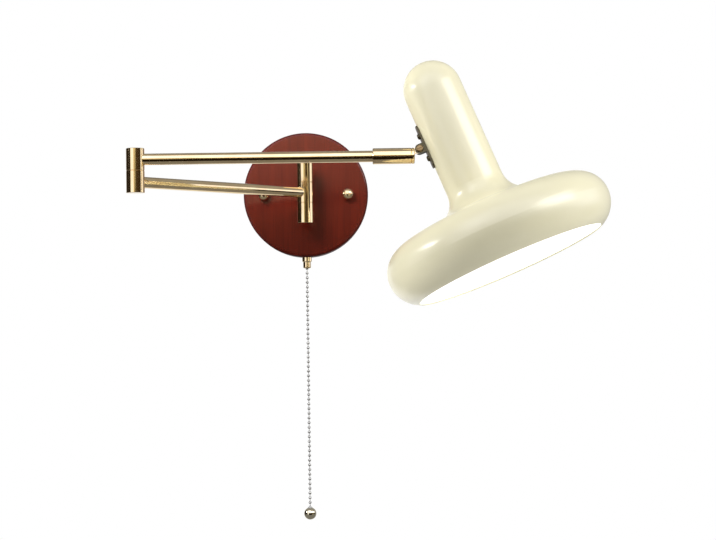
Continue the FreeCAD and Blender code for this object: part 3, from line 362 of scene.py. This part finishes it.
def colour_drift():
    """A slow drift between two near colours, as on any real surface."""
    effect = Effect(
        "Colour drift",
        (("Vector", "Vector"), ("Scale", "Float"), ("First", "Color"), ("Second", "Color")),
        (("Color", "Color"),),
    )
    noise = effect.noise(scale=effect.given["Scale"], detail=4.0, roughness=0.55)
    share = effect.ranged(noise, Effect.NOISE, (0.0, 1.0))
    drift = effect.mixed(share, effect.given["First"], effect.given["Second"])
    effect.feed(effect.made["Color"], drift)
    return effect.tree


# Finishes

# Least and most roughness of polished metal, and the depth of its marks in metres
POLISHED = (0.072, 0.09)
POLISH_DEPTH = 0.00000008

# Marks to a metre along X, Y and Z
RINGS_UPRIGHT = (25, 25, 2600)
RINGS_FACING = (25, 2600, 25)
RINGS_ALONG_ARM = (2600, 25, 25)
LINES_ALONG_ARM = (12, 2200, 2200)
WOOD_FIGURE = (75, 75, 5)
WOOD_PORES = (900, 900, 22)
WOOD_LACQUER = (400, 400, 14)

# Turns the coordinates so that X runs along the lower arm at rest
LOWER_ARM_TURN = (0, 0, math.radians(-45.7))

# From the canopy's axis to where its rounded edge begins and to where it has turned away, in metres
CANOPY_EDGE = (0.0582, 0.0607)


def even(marks):
    """As many marks to a metre along every axis."""
    return (marks, marks, marks)


class Workshop:
    """The finishes, each made once."""

    def __init__(self, colours):
        self.colours = colours
        self.streaks = fine_streaks()
        self.drift = colour_drift()

    def tint(self, finish, first, second, scale):
        """Gives a finish a colour that drifts between two."""
        drift = finish.effect(
            self.drift, Vector=finish.place(), Scale=scale, First=opaque(first), Second=opaque(second)
        )
        finish.give("Base Color", drift["Color"])
        return drift["Color"]

    def marks(self, finish, stretch, rough, turn=(0, 0, 0)):
        """Gives a finish a roughness in fine marks, and returns their height."""
        place = finish.place(stretch, turn)
        streaks = finish.effect(self.streaks, Vector=place, Smoothest=rough[0], Roughest=rough[1])
        finish.give("Roughness", streaks["Roughness"])
        return streaks["Height"]

    def metal(self, name, first, second, stretch, turn=(0, 0, 0), rough=POLISHED, depth=POLISH_DEPTH):
        finish = Finish(name, Metallic=1.0)
        self.tint(finish, first, second, scale=60.0)
        finish.relief(self.marks(finish, stretch, rough, turn), depth)
        return finish.material

    def brass(self, name, stretch, **marks):
        return self.metal(name, self.colours.brass, self.colours.brass_warm, stretch, **marks)

    def aged_metal(self, name, colour, darkest, stretch, **marks):
        """A metal whose colour drifts down to a share of itself."""
        return self.metal(name, colour, Vector(colour) * darkest, stretch, **marks)

    def moulded(self, name, first, second, rough):
        finish = Finish(name)
        self.tint(finish, first, second, scale=90.0)
        finish.relief(self.marks(finish, even(2500), rough), depth=0.00003)
        return finish.material

    def wood(self):
        """Stained wood with its grain upright, open pores, a thin satin lacquer and painted shade on the canopy's
        edge.
        """
        finish = Finish("Stained wood", Specular_IOR_Level=0.03, Coat_Roughness=0.17)
        broad = finish.node(
            "ShaderNodeTexNoise", Vector=finish.place(WOOD_FIGURE), Scale=1.0, Detail=5.0, Distortion=0.6
        )
        fine = finish.node("ShaderNodeTexNoise", Vector=finish.place(WOOD_PORES), Scale=1.0, Detail=2.0)
        dark, light = (0.36, self.colours.wood_dark), (0.62, self.colours.wood)
        figure = finish.ramp(broad.outputs["Fac"], dark, light)
        pores = finish.ranged(fine.outputs["Fac"], (0.3, 0.46), (0.76, 1.0))
        stain = finish.mixed(1.0, figure, pores, "MULTIPLY")
        # Painted shade: the stain is darkened over the canopy's rounded edge, where the edge turns away
        stain_with_painted_edge_shade = finish.mixed(1.0, stain, self.over_edge(finish, 1.0, 0.6), "MULTIPLY")
        finish.give("Base Color", stain_with_painted_edge_shade)
        finish.give("Coat Weight", self.over_edge(finish, 0.7, 0.1))
        self.marks(finish, WOOD_LACQUER, rough=(0.4, 0.56))
        finish.relief(pores, depth=0.00006)
        return finish.material

    def over_edge(self, finish, inside, edge):
        """A value that ramps from its inside value to its edge value over the canopy's rounded edge: there it
        darkens the stain as painted shade, and thins the coat.
        """
        radius = finish.node("ShaderNodeVectorMath", Vector=finish.place((1, 0, 1)))
        radius.operation = "LENGTH"
        return finish.ranged(radius.outputs["Value"], CANOPY_EDGE, (inside, edge))

    def enamel(self):
        """Sprayed enamel: a faint orange peel under a clear gloss."""
        cream = Vector(self.colours.cream)
        finish = Finish("Cream enamel", Coat_Weight=0.55, Coat_Roughness=0.18, Specular_IOR_Level=0.5)
        self.tint(finish, cream, cream * 0.975, scale=14.0)
        finish.relief(self.marks(finish, even(260), rough=(0.3, 0.38)), depth=0.00004)
        return finish.material

    def opal(self):
        """Opal plastic, lit from behind."""
        opal = Vector(self.colours.opal)
        finish = Finish("Lit opal", Roughness=0.35, Emission_Strength=0.9)
        finish.give("Emission Color", self.tint(finish, opal, opal * 0.985, scale=9.0))
        return finish.material

    def frosted_glass(self):
        finish = Finish("Frosted glass", Transmission_Weight=0.7, IOR=1.45)
        self.tint(finish, self.colours.glass, self.colours.glass_dim, scale=60.0)
        self.marks(finish, even(1500), rough=(0.35, 0.5))
        return finish.material


def make_finishes(colours):
    """Every finish, by the name that the tables below give it."""
    shop = Workshop(colours)
    aged = shop.aged_metal
    return {
        "wood": shop.wood(),
        "turned brass": shop.brass("Turned brass", RINGS_UPRIGHT),
        "sleeve brass": shop.brass("Sleeve brass", RINGS_ALONG_ARM),
        "cap brass": shop.brass("Cap brass", RINGS_FACING, rough=(0.2, 0.28)),
        "upper tube": shop.brass("Drawn brass upper", LINES_ALONG_ARM),
        "lower tube": shop.brass("Drawn brass lower", LINES_ALONG_ARM, turn=LOWER_ARM_TURN),
        "dull brass": aged("Dull brass", colours.dull_brass, 0.65, RINGS_FACING, rough=(0.18, 0.28)),
        "pale brass": aged("Pale brass", colours.pale_brass, 0.85, RINGS_UPRIGHT),
        "bronze": aged("Dark bronze", colours.bronze, 0.7, even(900), rough=(0.28, 0.45), depth=0.00003),
        "zinc": aged("Zinc plate", colours.zinc, 0.86, even(500), rough=(0.3, 0.5), depth=0.00002),
        "nickel": aged("Plated chain", colours.nickel, 0.85, even(1500), rough=(0.42, 0.52)),
        "enamel": shop.enamel(),
        "opal": shop.opal(),
        "pale plastic": shop.moulded(
            "Pale plastic", colours.pale_plastic, colours.pale_plastic_aged, rough=(0.39, 0.51)
        ),
        "dark plastic": shop.moulded(
            "Dark plastic", colours.dark_plastic, colours.dark_plastic_worn, rough=(0.36, 0.48)
        ),
        "glass": shop.frosted_glass(),
    }


FINISH_OF_SLOT = {
    "canopy_wood": "wood",
    "brass": "turned brass",
    "dark_brass": "bronze",
    "shade_paint": "enamel",
    "opal": "opal",
    "zinc_steel": "zinc",
    "terminal_plastic": "pale plastic",
    "holder_plastic": "dark plastic",
    "bulb_glass": "glass",
    "bead_chain": "nickel",
}
FINISH_OF_NODE = {
    "upper_arm_tube": "upper tube",
    "swivel_spigot": "upper tube",
    "lower_arm_tube": "lower tube",
    "swivel_sleeve": "sleeve brass",
    "cap_nuts": "cap brass",
    "chain_ball": "pale brass",
}
FINISHES = {}


class LAMP_OT_finishes(bpy.types.Operator):
    """Give every solid of the lamp its finish"""

    bl_idname = "lamp.finishes"
    bl_label = "Finish the solids"

    def execute(self, context):
        FINISHES.update(make_finishes(context.scene.lamp_colours))
        for part in frame["record"]["subparts"]:
            name = part["node"]
            finish = FINISH_OF_NODE.get(name) or FINISH_OF_SLOT[part["material_slot"]]
            node = frame["nodes"][name]
            node.data.materials.clear()
            node.data.materials.append(FINISHES[finish])
        return {"FINISHED"}


# Bead chain

BEAD_SIDES = 14
BEAD_RINGS = 10

# A face of a bead whose middle is further out than this share of the radius belongs to a pole
POLE = 0.96


def bead(sizes):
    """One bead, with half of the wire neck drawn out of each pole."""
    set_down()
    bpy.ops.mesh.primitive_uv_sphere_add(
        segments=BEAD_SIDES, ring_count=BEAD_RINGS, radius=sizes.bead_radius
    )
    piece = bpy.context.object
    pole_radius = sizes.bead_radius * math.sin(math.pi / BEAD_RINGS)
    neck = sizes.neck_radius / pole_radius
    reach = sizes.bead_pitch / 2 - sizes.bead_radius
    for side in (1, -1):
        select_faces(piece, lambda face: face.center.z * side > sizes.bead_radius * POLE)
        bpy.ops.mesh.extrude_region_move(TRANSFORM_OT_translate={"value": (0, 0, 0)})
        bpy.ops.transform.resize(value=(neck, neck, 0), center_override=(0, 0, side * sizes.bead_radius))
        bpy.ops.mesh.extrude_region_move(TRANSFORM_OT_translate={"value": (0, 0, side * reach)})
    set_down()
    return piece


def chain_route(top, bottom):
    """The line that the chain hangs on, as points read from its spline."""
    curve = bpy.data.curves.new("chain_route", "CURVE")
    curve.dimensions = "3D"
    spline = curve.splines.new("NURBS")
    stations = (top, (top * 2 + bottom) / 3, (top + bottom * 2) / 3, bottom)
    spline.points.add(len(stations) - 1)
    for point, station in zip(spline.points, stations):
        point.co = (*station, 1)
    spline.order_u = 3
    spline.use_endpoint_u = True
    spline.resolution_u = 24
    route = bpy.data.objects.new("chain_route", curve)
    bpy.context.collection.objects.link(route)
    mesh = bpy.data.meshes.new_from_object(route.evaluated_get(bpy.context.evaluated_depsgraph_get()))
    points = [vertex.co.copy() for vertex in mesh.vertices]
    bpy.data.meshes.remove(mesh)
    bpy.data.objects.remove(route)
    bpy.data.curves.remove(curve)
    return points


def stations_along(points, pitch):
    """Places along a line, one pitch apart, going back from half a pitch before its last point."""
    length = sum((b - a).length for a, b in zip(points, points[1:]))
    places = []
    for i in range(int(length / pitch)):
        left = length - pitch * (i + 0.5)
        for a, b in zip(points, points[1:]):
            step = (b - a).length
            if left <= step:
                places.append(a.lerp(b, left / step))
                break
            left -= step
    return places


class LAMP_OT_chain(bpy.types.Operator):
    """Hang the bead chain from the nozzle"""

    bl_idname = "lamp.chain"
    bl_label = "Bead chain"

    def execute(self, context):
        sizes = context.scene.lamp_chain
        low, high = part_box("pull_chain")
        middle = (low + high) / 2
        mouth = Vector((middle.x, middle.y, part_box("switch_nozzle")[0].z))
        ball_top = Vector((middle.x, middle.y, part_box("chain_ball")[1].z))
        bottom = ball_top + Vector((0, 0, sizes.last_bead - sizes.bead_pitch / 2))
        points = chain_route(mouth + Vector((0, 0, sizes.hidden)), bottom)
        first = bead(sizes)
        beads = [first]
        places = stations_along(points, sizes.bead_pitch)
        for place in places[1:]:
            copy = first.copy()
            copy.data = first.data.copy()
            context.collection.objects.link(copy)
            settle(copy, Matrix.Translation(place))
            beads.append(copy)
        settle(first, Matrix.Translation(places[0]))
        chain = joined(beads, "bead_chain")
        smooth(chain, degrees=50)
        dress(chain, FINISHES["nickel"], "pull")
        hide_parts("pull_chain")
        ring = self.add_ring(sizes, ball_top)
        return {"FINISHED"}

    def add_ring(self, sizes, ball_top):
        """The low ring that holds the last bead in the ball, in place of the solids' taller bell."""
        set_down()
        bpy.ops.mesh.primitive_torus_add(
            major_radius=sizes.ring_radius,
            minor_radius=sizes.ring_wire,
            major_segments=40,
            minor_segments=14,
        )
        ring = joined([bpy.context.object], "bell_ring")
        settle(ring, Matrix.Translation(ball_top))
        smooth(ring, degrees=35)
        dress(ring, FINISHES["nickel"], "pull")
        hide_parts("chain_bell")
        return ring


# Screws on the head

# How nearly a face looks along the screw to count as its end
FACING = 0.9

# Rounding of the head, as a share of its height, and the recess, as shares of the head's radius
ROUNDING = 0.55
CROSS_LENGTH = 1.25
SLOT_LENGTH = 3
RECESS_WIDTH = 0.24


def screw(sizes, radius, shank, recess):
    """A round-headed screw along Z: seat at zero, head below, with a cross or a slot cut in it."""
    height = sizes.plate_height
    set_down()
    bpy.ops.mesh.primitive_cylinder_add(
        vertices=sizes.sides, radius=radius, depth=height, location=(0, 0, -height / 2)
    )
    piece = bpy.context.object
    settle(piece, piece.matrix_world.copy())
    select_faces(piece, lambda face: face.normal.z < -FACING)
    bpy.ops.mesh.bevel(offset=height * ROUNDING, segments=5, affect="EDGES")
    select_faces(piece, lambda face: face.normal.z > FACING)
    bpy.ops.mesh.inset(thickness=radius - sizes.shank_radius)
    bpy.ops.mesh.extrude_region_move(TRANSFORM_OT_translate={"value": (0, 0, shank)})
    set_down()
    wide = radius * RECESS_WIDTH
    if recess == "cross":
        bars = ((radius * CROSS_LENGTH, wide), (wide, radius * CROSS_LENGTH))
    else:
        bars = ((radius * SLOT_LENGTH, wide),)
    for bar in bars:
        cut_bar(piece, (*bar, height), -height)
    smooth(piece, degrees=30)
    return piece


def cut_bar(piece, size, face_z):
    """Sinks a bar halfway into the face at face_z and takes it away from the piece."""
    set_down()
    bpy.ops.mesh.primitive_cube_add(size=1, location=(0, 0, face_z))
    bar = bpy.context.object
    bar.scale = size
    pick_up(piece)
    cut = piece.modifiers.new("recess", "BOOLEAN")
    cut.operation = "DIFFERENCE"
    cut.object = bar
    bpy.ops.object.modifier_apply(modifier=cut.name)
    bpy.data.objects.remove(bar)


class LAMP_OT_screws(bpy.types.Operator):
    """Make the plate's two cross-head screws and the slotted tilt screw"""

    bl_idname = "lamp.screws"
    bl_label = "Head screws"

    def execute(self, context):
        sizes = context.scene.lamp_screws
        head = head_frame(sizes.lean)
        into_stem = Matrix.Rotation(math.radians(90), 4, "Y")
        across = Matrix.Rotation(math.radians(-90), 4, "X")
        plate = []
        for side in (1, -1):
            piece = screw(sizes, sizes.plate_radius, sizes.plate_shank, "cross")
            seat = Matrix.Translation((sizes.plate_seat, 0, side * sizes.plate_pitch / 2))
            settle(piece, head @ seat @ into_stem)
            plate.append(piece)
        pair = joined(plate, "plate_screw_pair")
        dress(pair, FINISHES["bronze"], "head")
        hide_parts("plate_screws")
        tilt = screw(sizes, sizes.tilt_radius, sizes.tilt_shank, "slot")
        settle(tilt, head @ Matrix.Translation((0, -sizes.tilt_seat, 0)) @ across)
        tilt.name = "tilt_slotted_screw"
        dress(tilt, FINISHES["dull brass"], "head")
        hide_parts("tilt_screw")
        return {"FINISHED"}


# Studio

LAMP_MIDDLE = (0.06, -0.15, 0.0)
OVER_CANOPY = (-0.03, 0, 0.075)

# Spread of a beam in degrees
OPEN = 180
GRIDDED = 50

# Name, place, size, what it points at, its spread, and whether it only shows in polished surfaces
LIGHTS = (
    ("spark", (-1.55, -0.37, 0.36), (0.5, 0.19), LAMP_MIDDLE, OPEN, True),
    ("front", (-0.42, -0.95, 0.5), (0.4, 0.4), LAMP_MIDDLE, OPEN, False),
    ("canopy", (-0.16, -0.4, 0.2), (0.2, 0.2), OVER_CANOPY, GRIDDED, False),
    ("left", (-1.75, 0.1, 0.05), (1.3, 1.4), LAMP_MIDDLE, OPEN, False),
    ("right", (1.85, -0.2, 0.1), (1.2, 1.4), LAMP_MIDDLE, OPEN, False),
    ("window", (1.51, -1.09, 0.86), (1.3, 0.8), LAMP_MIDDLE, OPEN, True),
    ("side", (1.4, -1.1, 0.4), (0.8, 0.8), LAMP_MIDDLE, OPEN, False),
    ("top", (0.15, -0.1, 1.6), (1.4, 1.0), LAMP_MIDDLE, OPEN, False),
)

# Tints of the cards
GREY = (1, 1, 1)
BROWN = (1, 0.62, 0.25)
COOL = (1, 1.02, 1.14)
WARM = (1, 0.88, 0.55)

# Name, azimuth from the front to the right, elevation, distance, the tone at the two ends, and the tint
CARDS = (
    ("card_left_behind", (-150, -125), (-40, 40), 2.4, 0.25, 0.25, GREY),
    ("card_left", (-130, -56), (-50, 30), 2.3, 0.02, 0.02, BROWN),
    ("card_front_left", (-55, -21), (-6, 30), 2.1, 1.45, 1.45, COOL),
    ("card_front", (-21, 11), (-5, 13), 2.2, 1.0, 0.08, WARM),
    ("card_front_high", (-9, 7), (7.2, 12), 2.1, 2.4, 1.6, WARM),
    ("card_front_dark", (-10, 4), (-5, 4.2), 2.05, 0.04, 0.02, BROWN),
    ("card_front_right", (11, 74), (-3, 12), 2.2, 0.08, 0.03, BROWN),
    ("card_front_right_low", (28, 75), (-45, -2), 2.25, 0.32, 0.32, WARM),
    ("card_right", (78, 112), (-4, 23), 2.1, 1.5, 1.5, COOL),
    ("card_right_high", (66, 150), (24, 60), 2.3, 0.4, 0.4, GREY),
    ("card_right_line", (74, 116), (-22, -1), 2.05, 0.03, 0.03, BROWN),
    ("card_right_low", (74, 116), (-50, -4), 2.15, 0.36, 0.36, GREY),
    ("card_right_behind", (112, 165), (-40, 24), 2.3, 0.5, 0.25, GREY),
    ("card_front_low", (-32, 32), (-50, -5), 0.75, 0.015, 0.015, BROWN),
    ("card_floor", (-70, 70), (-130, -50), 0.58, 0.26, 0.26, GREY),
    ("card_front_top", (-50, 35), (13, 66), 2.3, 2.0, 2.0, COOL),
    ("card_overhead", (-60, 60), (66, 112), 2.4, 0.42, 0.42, GREY),
    ("card_behind_top", (130, 230), (20, 66), 2.5, 0.25, 0.25, GREY),
)


def softbox(name, place, size, target, spread, mirrored, power):
    """A panel of light: one that only polished surfaces mirror, or one that they don't show."""
    set_down()
    facing = (Vector(target) - Vector(place)).to_track_quat("-Z", "Y").to_euler()
    bpy.ops.object.light_add(type="AREA", location=place, rotation=facing)
    lamp = bpy.context.object
    lamp.name = name
    lamp.data.shape = "RECTANGLE"
    lamp.data.size, lamp.data.size_y = size
    lamp.data.energy = power
    lamp.data.spread = math.radians(spread)
    lamp.visible_glossy = mirrored
    lamp.visible_diffuse = not mirrored


def board(name, place, turn, size, finish):
    """A flat board that belongs to the stage."""
    set_down()
    bpy.ops.mesh.primitive_plane_add(size=1, location=place, rotation=turn)
    piece = bpy.context.object
    piece.name = name
    piece.scale = (*size, 1)
    pick_up(piece)
    bpy.ops.object.transform_apply(location=True, rotation=True, scale=True)
    piece.data.materials.append(finish.material)
    return piece


def card_finish(name, first, last, tint):
    """A tone that the lights don't change, and that fades from one side of a card to the other."""
    finish = Finish(name, Base_Color=opaque((0, 0, 0)), Specular_IOR_Level=0.0, Emission_Strength=1.0)
    across = finish.node("ShaderNodeSeparateXYZ", Vector=finish.node("ShaderNodeTexCoord").outputs["UV"])
    tones = [opaque(Vector(tint) * tone) for tone in (first, last)]
    finish.give("Emission Color", finish.mixed(across.outputs["X"], *tones))
    return finish


def reflection_card(name, azimuth, elevation, distance, first, last, tint):
    """A card round the lamp that shows only in polished surfaces."""
    turn = math.radians(sum(azimuth) / 2)
    rise = math.radians(sum(elevation) / 2)
    out = Vector((math.sin(turn) * math.cos(rise), -math.cos(turn) * math.cos(rise), math.sin(rise)))
    card = board(
        name,
        place=Vector(LAMP_MIDDLE) + out * distance,
        turn=(math.pi / 2 - rise, 0, turn),
        size=[2 * distance * math.tan(math.radians(to - since) / 2) for since, to in (azimuth, elevation)],
        finish=card_finish(name, first, last, tint),
    )
    card.visible_camera = False
    card.visible_diffuse = False
    card.visible_shadow = False


def white_world(fill):
    """White where it is seen, mirrored or seen through, and a softer light everywhere else."""
    world = bpy.data.worlds.new("Studio")
    bpy.context.scene.world = world
    world.use_nodes = True
    sky = Nodes(world.node_tree)
    rays = sky.node("ShaderNodeLightPath").outputs
    seen = rays["Is Camera Ray"]
    for ray in ("Is Glossy Ray", "Is Transmission Ray"):
        either = sky.node("ShaderNodeMath")
        either.operation = "MAXIMUM"
        sky.feed(either.inputs[0], seen)
        sky.feed(either.inputs[1], rays[ray])
        seen = either.outputs["Value"]
    strength = sky.ranged(seen, (0.0, 1.0), (fill, 1.0))
    sky.fill(sky.tree.nodes["Background"], {"Color": opaque((1, 1, 1)), "Strength": strength})


class LAMP_OT_stage(bpy.types.Operator):
    """Set up the floor, the cards, the lights and the camera"""

    bl_idname = "lamp.stage"
    bl_label = "Studio"

    def execute(self, context):
        studio = context.scene.lamp_studio
        context.scene.view_settings.view_transform = "Standard"
        white_world(studio.fill)
        board(
            "floor",
            place=(0.05, -0.35, -0.9),
            turn=(0, 0, 0),
            size=(1.9, 1.7),
            finish=Finish("Pale floor", Base_Color=opaque(studio.floor), Roughness=0.8),
        )
        for card in CARDS:
            reflection_card(*card)
        for light in LIGHTS:
            softbox(*light, power=getattr(studio, f"{light[0]}_power"))
        self.add_camera(context.scene, studio)
        return {"FINISHED"}

    def add_camera(self, scene, studio):
        level = Matrix.Rotation(math.radians(90), 3, "X")
        turn = (
            Matrix.Rotation(studio.camera_yaw, 3, "Z")
            @ Matrix.Rotation(studio.camera_pitch, 3, "X")
            @ Matrix.Rotation(studio.camera_roll, 3, "Y")
            @ level
        )
        set_down()
        bpy.ops.object.camera_add(location=studio.camera_place, rotation=turn.to_euler())
        camera = bpy.context.object
        camera.data.sensor_width = 36
        camera.data.lens = studio.lens
        camera.data.clip_start = 0.01
        scene.camera = camera


STEPS = (LAMP_OT_finishes, LAMP_OT_chain, LAMP_OT_screws, LAMP_OT_stage)
GROUPS = {
    "lamp_chain": LampChain,
    "lamp_screws": LampScrews,
    "lamp_colours": LampColours,
    "lamp_studio": LampStudio,
}


class LAMP_PT_panel(bpy.types.Panel):
    """The lamp's pieces and sizes"""

    bl_idname = "LAMP_PT_panel"
    bl_label = "Wall lamp"
    bl_space_type = "VIEW_3D"
    bl_region_type = "UI"
    bl_category = "Lamp"

    def draw(self, context):
        for step in STEPS:
            self.layout.operator(step.bl_idname)
        for name in GROUPS:
            group = getattr(context.scene, name)
            box = self.layout.box()
            for key in group.bl_rna.properties.keys():
                if key not in ("rna_type", "name"):
                    box.prop(group, key)


def register():
    for name, group in GROUPS.items():
        bpy.utils.register_class(group)
        setattr(bpy.types.Scene, name, PointerProperty(type=group))
    for step in (*STEPS, LAMP_PT_panel):
        bpy.utils.register_class(step)


def unregister():
    for step in (LAMP_PT_panel, *reversed(STEPS)):
        bpy.utils.unregister_class(step)
    for name, group in GROUPS.items():
        delattr(bpy.types.Scene, name)
        bpy.utils.unregister_class(group)


def main():
    register()
    bpy.ops.lamp.finishes()
    bpy.ops.lamp.chain()
    bpy.ops.lamp.screws()
    bpy.ops.lamp.stage()


if __name__ == "__main__":
    main()
